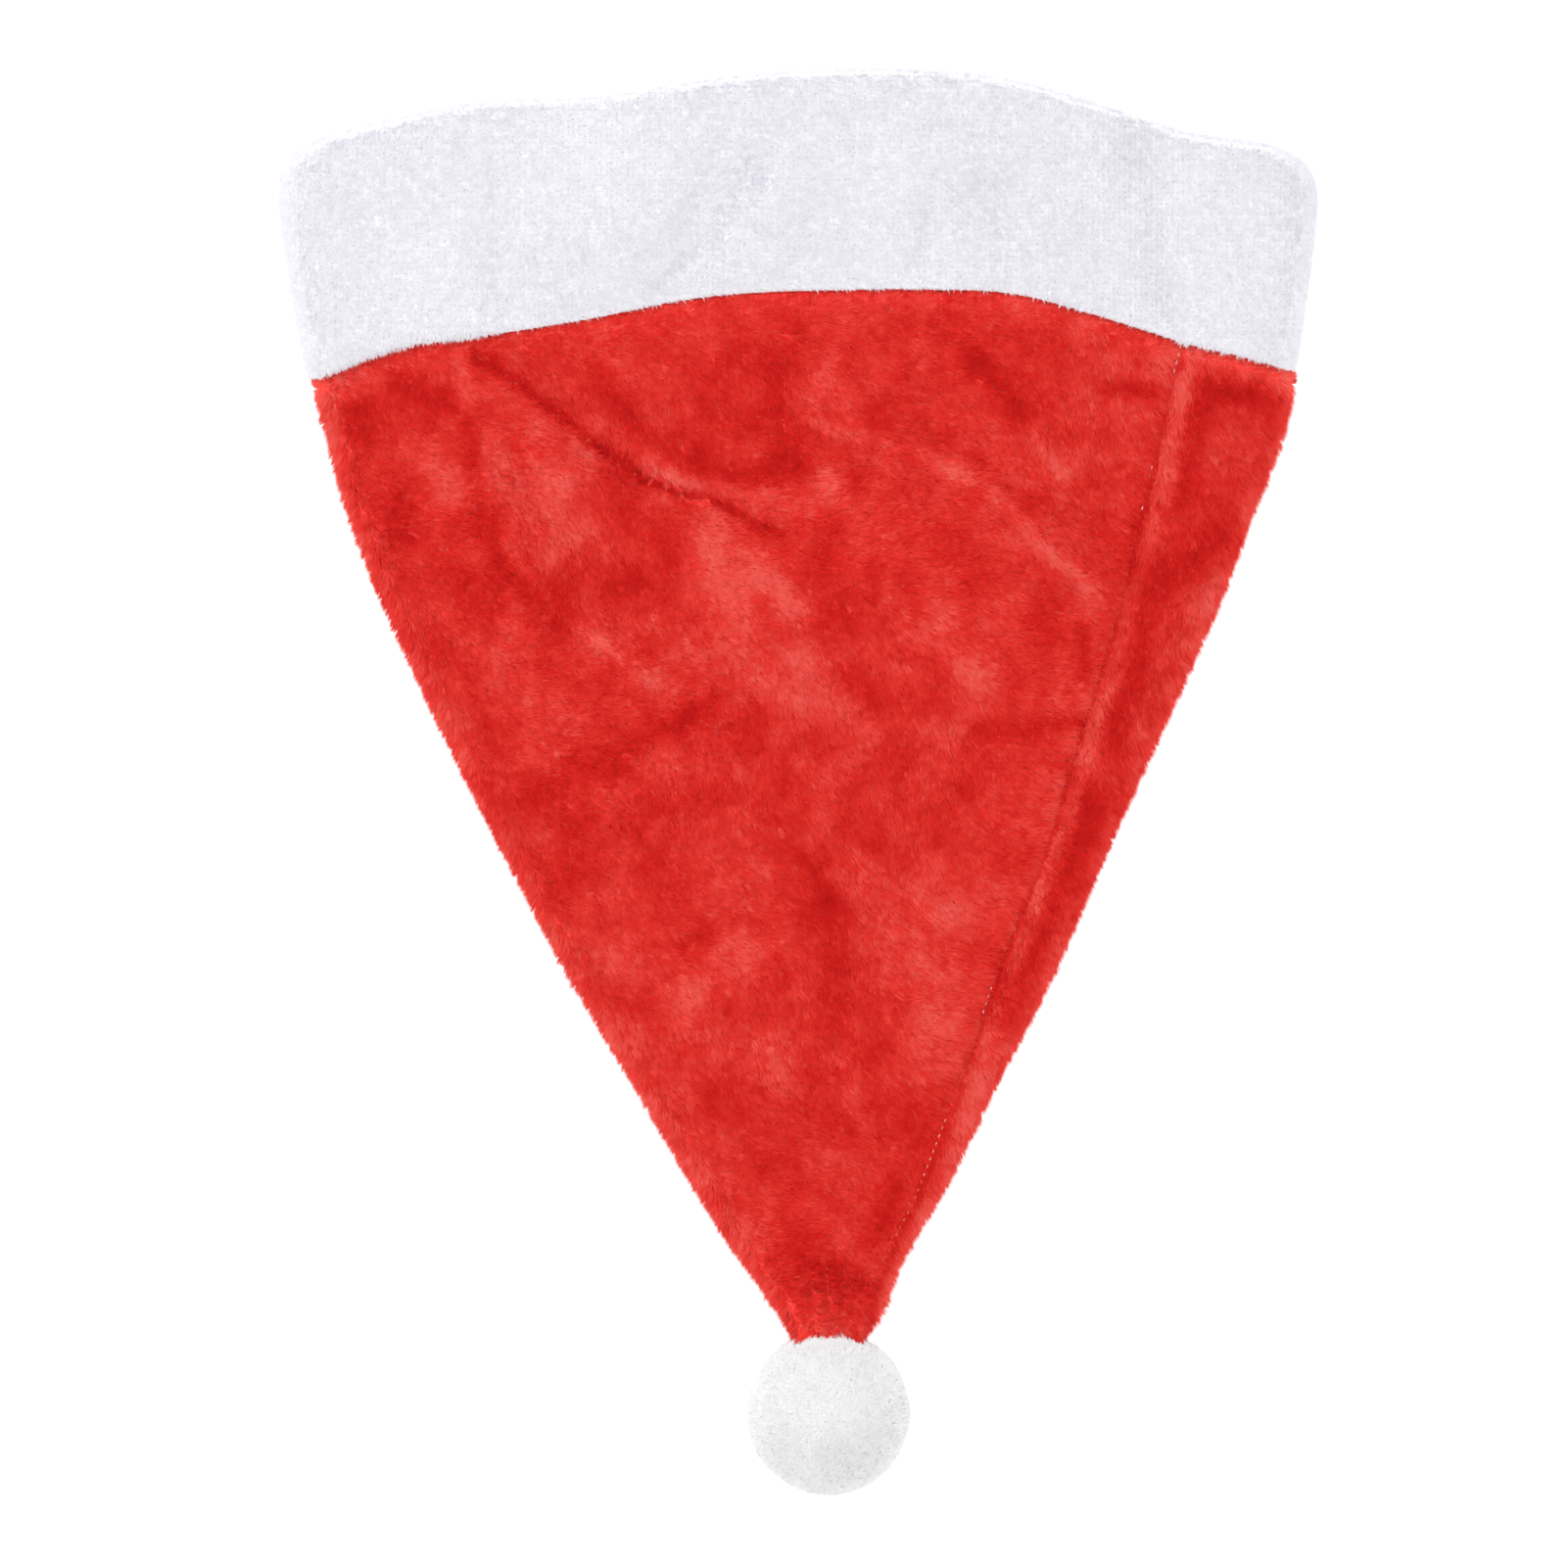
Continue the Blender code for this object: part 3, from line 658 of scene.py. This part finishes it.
# %% The comb: all four steps
PILES = {
    # length, width, lift, wander, lock, cling, fluff
    "crown": (0.0034, 0.00038, 0.42, 0.38, 0.0013, 0.40, 1.0),
    "crown_under": (0.0036, 0.00080, 0.30, 0.40, 0.0020, 0.30, 1.0),
    "tip_tufts": (0.0065, 0.00050, 0.50, 0.30, 0.0034, 0.80, 0.0),
    "band": (0.0021, 0.00044, 0.25, 0.80, 0.0009, 0.12, 0.0),
    "band_hidden": (0.0022, 0.00080, 0.30, 0.70, 0.0020, 0.30, 0.0),
    "pompom": (0.0024, 0.00040, 0.35, 1.30, 0.0008, 0.10, 0.0),
    "pompom_collar": (0.0055, 0.00045, 0.30, 0.40, 0.0030, 0.70, 0.0),
}
LOCK_TONE = 0.07             # how much one lock differs from the next
HAIR_TONE = 0.10
FLUFF_LIFT = 0.40            # at the side folds a fluffy pile stands out more
FLUFF_LENGTH = 0.20
SEAM_SHORT = 0.45            # the red hairs that come over the band are shorter
SHORTEST, LONGEST = 0.7, 1.15
THINNEST, THICKEST = 0.8, 1.2


def comb(name, cloth, chosen, count, pile, way, tone, look):
    """way and tone are functions of a spot: the lie of the pile there, and its tone."""
    length, width, lift, wander, lock, cling, fluff = PILES[pile]
    spot = strew(cloth, chosen, count)
    fluff = fluff * (1 - np.abs(spot["normals"][:, 2])) * (1 - spot.get("near_band", 0.0))
    lie = lay_over(spot, way(spot), lift + FLUFF_LIFT * fluff, wander)
    long = length * rng.uniform(SHORTEST, LONGEST, count) * (1 + FLUFF_LENGTH * fluff)
    long *= 1 - SEAM_SHORT * spot.get("near_band", 0.0)
    foot = spot["points"]
    tip = foot + lie * long[:, None]
    member, guide = into_locks(foot, tip, lock, spot["area"])
    tip += (tip[guide] - tip) * cling
    lock_tone = rng.normal(0.0, LOCK_TONE, member.max() + 1)[member]
    shown = tone(spot) + lock_tone + rng.normal(0.0, HAIR_TONE, count)
    widths = width * rng.uniform(THINNEST, THICKEST, count)
    print(name, count, "hairs,", round(count / spot["area"] / 1e6, 1), "to the square mm")
    return skin(name, foot, tip, spot["normals"], shown, widths, look)


# %% [markdown]
# The lie of the crown's pile is a slow, wandering field. On the front it runs down and to the right,
# and past the side seam and on the back it runs down. Round a side fold it turns outward, because
# hairs that lay uphill there would stand on end and part. At the band the hairs turn up over the sewn
# edge. The tone takes the table's painted shade and highlights, with their lines warped so that none
# is ruled. It adds a painted shade along the side seam with a painted highlight beside it, a painted
# highlight on the hairs at the side folds, and patches and mottle of three sizes.

# %% Crown pile
LIE_FRONT = (0.80, -0.60, 0.0)
LIE_STRIP = (0.25, -0.97, 0.0)
LIE_BACK = (0.05, -1.0, 0.0)
LIE_FOLD_OUT, LIE_FOLD_DOWN = 0.7, 0.75
FOLD_FROM, FOLD_TURN = 0.88, 4.0     # how soon the lie turns outward as the cloth turns down
BACK_FACING = -0.2           # cloth that looks down more than this has the back's pile
OVER_THE_SEAM = (0.0, 2.2, 0.3)
SWING = 1.1
MID_TONE, TONE_SPAN = 0.52, 0.5
WARP = 0.0035                # how far the strokes' lines stray from the table's
STROKE_MOTTLE = 0.6
CROWN_MOTTLE = (("patch", 0.25), ("mottle", 0.50), ("speckle", 0.35))
SEAM_ROUTE = (
    # x, y of the side seam on the front, from the band to the tip
    (0.1072, 0.1235), (0.1024, 0.1054), (0.0985, 0.0873), (0.0901, 0.0508), (0.0789, 0.0151),
    (0.0685, -0.0185), (0.0558, -0.0519), (0.0449, -0.0846), (0.0322, -0.1173), (0.0285, -0.1239),
    (0.0195, -0.1419),
)
# a painted shade along the side seam's groove, and a painted highlight on the strip of pile beside it
SEAM_DARK, SEAM_DARK_WIDTH = -0.45, 0.0009
SEAM_LIGHT, SEAM_LIGHT_WIDTH, SEAM_LIGHT_AT = 0.40, 0.0026, 0.0038
OUTLINE_LIGHT = 0.50         # painted highlight on the hairs that stand out at the side folds, for the light that shines through them
OUTLINE_FACING = -0.5        # further round the fold they aren't
TOP_FACING, UNDER_FACING = -0.35, -0.25      # the top's pile and the back's overlap between these
UNDER_HAIRS = 55000


def past_seam(spot):
    """How far right of the side seam each spot is."""
    route = np.array(SEAM_ROUTE)[::-1]
    return spot["points"][:, 0] - np.interp(spot["points"][:, 1], route[:, 1], route[:, 0])


def at_fold(spot):
    """How far the lie has turned, from 0 on level cloth to 1 at a side fold."""
    return np.clip(FOLD_TURN * (FOLD_FROM - np.abs(spot["normals"][:, 2])), 0, 1)[:, None]


def crown_way(spot):
    count = len(spot["normals"])
    way = np.tile(LIE_FRONT, (count, 1))
    way[past_seam(spot) > 0] = LIE_STRIP
    way[spot["normals"][:, 2] < BACK_FACING] = LIE_BACK
    swing = SWING * spot["swing"]
    turned = np.stack((way[:, 0] * np.cos(swing) - way[:, 1] * np.sin(swing),
                       way[:, 0] * np.sin(swing) + way[:, 1] * np.cos(swing), way[:, 2]), axis=1)
    outward = unit(spot["normals"] * (1, 1, 0)) * LIE_FOLD_OUT + (0, -LIE_FOLD_DOWN, 0)
    turned += (outward - turned) * at_fold(spot)
    return turned + np.array(OVER_THE_SEAM) * spot["near_band"][:, None]


# %% Crown tone


def mottled(spot, shares):
    return sum(share * spot[name] for name, share in shares)


def stroke_tone(table, spot):
    x = spot["points"][:, 0] + WARP * spot["warp_x"]
    y = spot["points"][:, 1] + WARP * spot["warp_y"]
    return strokes_at(table, x, y, TONE)


def crown_tone(spot):
    level = spot["normals"][:, 2]
    # painted shade in the creases and painted highlights on the crests, from the table
    painted_light_and_shade = stroke_tone(CROWN_STROKES, spot) * (1 + STROKE_MOTTLE * spot["mottle"])
    beside = past_seam(spot)
    painted_light_and_shade += SEAM_DARK * np.exp(-(beside / SEAM_DARK_WIDTH) ** 2)
    painted_light_and_shade += SEAM_LIGHT * np.exp(-((beside - SEAM_LIGHT_AT) / SEAM_LIGHT_WIDTH) ** 2)
    painted_light_and_shade *= level > BACK_FACING
    # painted highlight at the side folds
    outline = OUTLINE_LIGHT * np.sqrt(1 - np.abs(level)) * (level > OUTLINE_FACING)
    return MID_TONE + TONE_SPAN * (painted_light_and_shade + mottled(spot, CROWN_MOTTLE) + outline)


# %% Comb the crown
crown_above = crown["outer"] & (crown["normals"][:, 2] > TOP_FACING)
crown_below = crown["outer"] & (crown["normals"][:, 2] < UNDER_FACING)
CROWN_PARTS = (
    # name, from y, to y, hairs
    ("crown_pile_top", 0.057, 0.2, 172000),
    ("crown_pile_middle", -0.015, 0.057, 160000),
    ("crown_pile_tip", -0.2, -0.015, 142000),
)
OVERLAP = 0.003              # each part of the pile runs on a little into the next
for name, low, high, count in CROWN_PARTS:
    y = crown["points"][:, 1]
    rows = crown_above & (y > low - OVERLAP) & (y < high + OVERLAP)
    comb(name, crown, rows, count, "crown", crown_way, crown_tone,
                           red_pile)
comb("crown_pile_under", crown, crown_below, UNDER_HAIRS, "crown_under",
                       crown_way, crown_tone, red_pile)

# %% [markdown]
# At the tip the pile isn't clipped. It hangs over the pompom in a few ragged tufts, so the
# same comb goes over the last rows again with long hairs and large, tight locks.

# %% Tufts at the tip
TUFT_WAY = (0.0, -1.0, 0.0)
TUFT_SPREAD = 0.25           # outward, to the side that the cloth faces
TUFT_NEAR = 0.2              # how near the pompom they begin, from 0 to 1 as above
TUFT_HAIRS = 5000


def tuft_way(spot):
    down = np.tile(TUFT_WAY, (len(spot["normals"]), 1))
    return down + TUFT_SPREAD * np.sign(spot["normals"] * (1, 0, 0))


crown_end = crown["outer"] & (crown["near_pompom"] > TUFT_NEAR)
comb("tip_tufts", crown, crown_end, TUFT_HAIRS, "tip_tufts", tuft_way,
                       crown_tone, red_pile)

# %% [markdown]
# The band's plush is shorter and softer, and its hairs lie every way, but fall over the folds.
# Where it meets the crown they lie up the band, so that the red hairs come over the sewn edge.

# %% Band pile
BAND_WANDER = 1.8
BAND_DRIFT = 0.15            # a little more to the right than to the left
BAND_EDGE_LIE = 1.6
OVER_THE_FOLD = (0.0, 0.0, -1.0)
BAND_MOTTLE = (("patch", 0.12), ("mottle", 0.12))
BAND_RIM_SHADE = -0.9              # painted shade round the side folds, or they would vanish against the floor


def band_way(spot):
    swing = BAND_WANDER * spot["swing"]
    way = np.stack((np.sin(swing) + BAND_DRIFT, -np.cos(swing), np.zeros(len(swing))), axis=1)
    way[:, 1] += BAND_EDGE_LIE * spot["near_crown"]
    return way + (OVER_THE_FOLD - way) * at_fold(spot)


# The band's tone is painted shade in its creases and painted light on a few broad places, from the
# table, with painted shade round the side folds and mottle.
def band_tone(spot):
    level = spot["normals"][:, 2]
    painted_light_and_shade = stroke_tone(BAND_STROKES, spot) * (level > 0)
    rim = BAND_RIM_SHADE * (1 - np.abs(level))
    return MID_TONE + TONE_SPAN * (painted_light_and_shade + mottled(spot, BAND_MOTTLE) + rim)


band_above = band["outer"] & (band["normals"][:, 2] > TOP_FACING)
band_below = band["outer"] & (band["normals"][:, 2] < UNDER_FACING)
BAND_PARTS = (
    # name, where, hairs, pile
    ("band_pile_top", band_above, 150000, "band"),
    ("band_pile_under", band_below, 30000, "band_hidden"),
    ("band_pile_inside", ~band["outer"], 25000, "band_hidden"),
)
band_pile = [comb(name, band, where, count, pile, band_way, band_tone, white_pile)
             for name, where, count, pile in BAND_PARTS]

# %% [markdown]
# The pompom is a tied bundle of fibres, clipped to a ball. A round core stands for its
# dense inside, flat where it is sewn to the tip and where it lies on the table. Its fibres
# fall from its top to every side, and right of the middle a few longer ones reach over the red.

# %% Pompom
FIBRE_REACH = 0.0009         # how far the fibres stand off the core
CORE_SUBDIVISIONS = 5
CORE_RELIEF = 0.0004
CORE_LUMPS = 160             # to the metre
pompom_low, pompom_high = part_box("pompom")
pompom_radius = (pompom_high.x - pompom_low.x) / 2
pompom_middle = Vector(((pompom_high.x + pompom_low.x) / 2, pompom_low.y + pompom_radius,
                        pompom_high.z - pompom_radius))

bm = bmesh.new()
bmesh.ops.create_icosphere(bm, subdivisions=CORE_SUBDIVISIONS, radius=pompom_radius - FIBRE_REACH)
bmesh.ops.translate(bm, verts=bm.verts, vec=pompom_middle)
for vert in bm.verts:
    lump = noise.noise(vert.co * CORE_LUMPS)
    vert.co += (vert.co - pompom_middle).normalized() * CORE_RELIEF * lump
    vert.co.z = max(vert.co.z, FIBRE_REACH / 2)
    vert.co.y = min(vert.co.y, pompom_high.y)
core_mesh = bpy.data.meshes.new("pompom_core")
bm.to_mesh(core_mesh)
bm.free()
core_mesh.shade_smooth()
core = study(core_mesh, "crown")
core["sewn"] = core["near_crown"]
pompom_core = make_piece("pompom_core", core_mesh, pompom_knit)
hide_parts("pompom")
print("pompom radius, mm:", round(pompom_radius * 1000, 1))

# %% Pompom fibres
POMPOM_SWAY = 1.6
POMPOM_TONE, POMPOM_RIM_SHADE, POMPOM_MOTTLE = 0.86, 0.66, 0.15
POMPOM_HAIRS = 95000
COLLAR_FROM, COLLAR_TO = 0.005, 0.022        # x of the stretch where they reach over the red
COLLAR_NEAR, COLLAR_FACING = 0.1, 0.1
COLLAR_HAIRS = 1800


def pompom_way(spot):
    sway = POMPOM_SWAY * spot["swing"], POMPOM_SWAY * spot["patch"]
    return np.stack((*sway, np.full(len(spot["swing"]), -1.0)), axis=1)


def collar_way(spot):
    return np.tile((0.0, 1.0, 0.0), (len(spot["normals"]), 1))


def pompom_tone(spot):
    """Painted shade, darker towards the rim, which catches the floor's light as well as the room's.
    """
    rim = POMPOM_RIM_SHADE * (1 - np.maximum(spot["normals"][:, 2], 0.0))
    return POMPOM_TONE - rim + POMPOM_MOTTLE * spot["mottle"]


everywhere = np.ones(len(core_mesh.vertices), bool)
comb("pompom_fibres", core, everywhere, POMPOM_HAIRS, "pompom", pompom_way, pompom_tone,
     pompom_pile)
collar = ((core["near_crown"] > COLLAR_NEAR) & (core["normals"][:, 2] > COLLAR_FACING)
          & (core["points"][:, 0] > COLLAR_FROM) & (core["points"][:, 0] < COLLAR_TO))
comb("pompom_collar", core, collar, COLLAR_HAIRS, "pompom_collar", collar_way, pompom_tone,
     pompom_pile)

# %% [markdown]
# The side seam is sewn by machine from the inside. What shows is a narrow groove and, where
# the pile parts, small bites of thread. Each bite is a short capsule laid on the cloth, all
# joined in one mesh. In the stretches where the pile covers them they lie deeper.

# %% Stitches of the side seam
STITCH_STEP = 0.0023
STITCH_LENGTH = 0.0011
THREAD_RADIUS = 0.00016
# where they show, in shares of the seam's length from the band
SHOWN = ((0.012, 0.040), (0.128, 0.136), (0.170, 0.178), (0.672, 0.705))
GLIMPSED = ((0.810, 0.940),)
SHOWN_HEIGHT, GLIMPSED_HEIGHT, COVERED_HEIGHT = 0.0013, 0.0008, 0.0001
OVER_THE_HAT = 0.1

cloth_tree = tree_of(crown_mesh)
route = np.array(SEAM_ROUTE)
run = np.concatenate(([0.0], np.cumsum(np.hypot(*np.diff(route, axis=0).T))))


def on_seam(at, height):
    x, y = np.interp(at, run, route[:, 0]), np.interp(at, run, route[:, 1])
    cloth_point = cloth_tree.ray_cast(Vector((x, y, OVER_THE_HAT)), Vector((0, 0, -1)))[0]
    return cloth_point + Vector((0, 0, height))


def within(share, stretches):
    return any(low <= share <= high for low, high in stretches)


bm = bmesh.new()
places = np.arange(STITCH_STEP, run[-1] - STITCH_STEP, STITCH_STEP)
for at in places:
    height = SHOWN_HEIGHT if within(at / run[-1], SHOWN) else COVERED_HEIGHT
    if within(at / run[-1], GLIMPSED):
        height = GLIMPSED_HEIGHT
    start, end = on_seam(at - STITCH_LENGTH / 2, height), on_seam(at + STITCH_LENGTH / 2, height)
    lying = end - start
    bite = bmesh.ops.create_uvsphere(bm, u_segments=8, v_segments=6, radius=THREAD_RADIUS)["verts"]
    bmesh.ops.scale(bm, verts=bite, vec=(1, 1, lying.length / 2 / THREAD_RADIUS))
    bmesh.ops.rotate(bm, verts=bite, cent=(0, 0, 0), matrix=lying.to_track_quat("Z", "Y").to_matrix())
    bmesh.ops.translate(bm, verts=bite, vec=(start + end) / 2)
stitch_mesh = bpy.data.meshes.new("seam_stitches")
bm.to_mesh(stitch_mesh)
bm.free()
stitch_mesh.shade_smooth()

# %% Thread material
thread_look, thread_tree, thread_shader = soft_shader("thread", 0.55, 0.2, (1.0, 0.7, 0.7))
thread_place = thread_tree.nodes.new("ShaderNodeTexCoord")
ply = thread_tree.nodes.new("ShaderNodeTexNoise")
ply.inputs["Scale"].default_value = 3000.0
thread_tree.links.new(thread_place.outputs["Object"], ply.inputs["Vector"])
thread_colours = colour_ramp(thread_tree, [(0.3, (0.80, 0.22, 0.20)), (0.7, (0.95, 0.55, 0.52))])
thread_tree.links.new(ply.outputs["Fac"], thread_colours.inputs["Fac"])
thread_tree.links.new(thread_colours.outputs["Color"], thread_shader.inputs["Base Color"])
seam_stitches = make_piece("seam_stitches", stitch_mesh, thread_look)
print("stitches:", len(places))

# %% [markdown]
# The crown lies flat, so its cut is both its layers' outline, and the band is a strip that was folded
# along its middle. The last step counts the triangles that this file adds.

# %% Count the triangles added
added = sum(len(piece.data.loops) - 2 * len(piece.data.polygons) for piece in scene.objects
            if piece.type == "MESH" and piece.name not in frame["nodes"])
print("triangles added:", added)
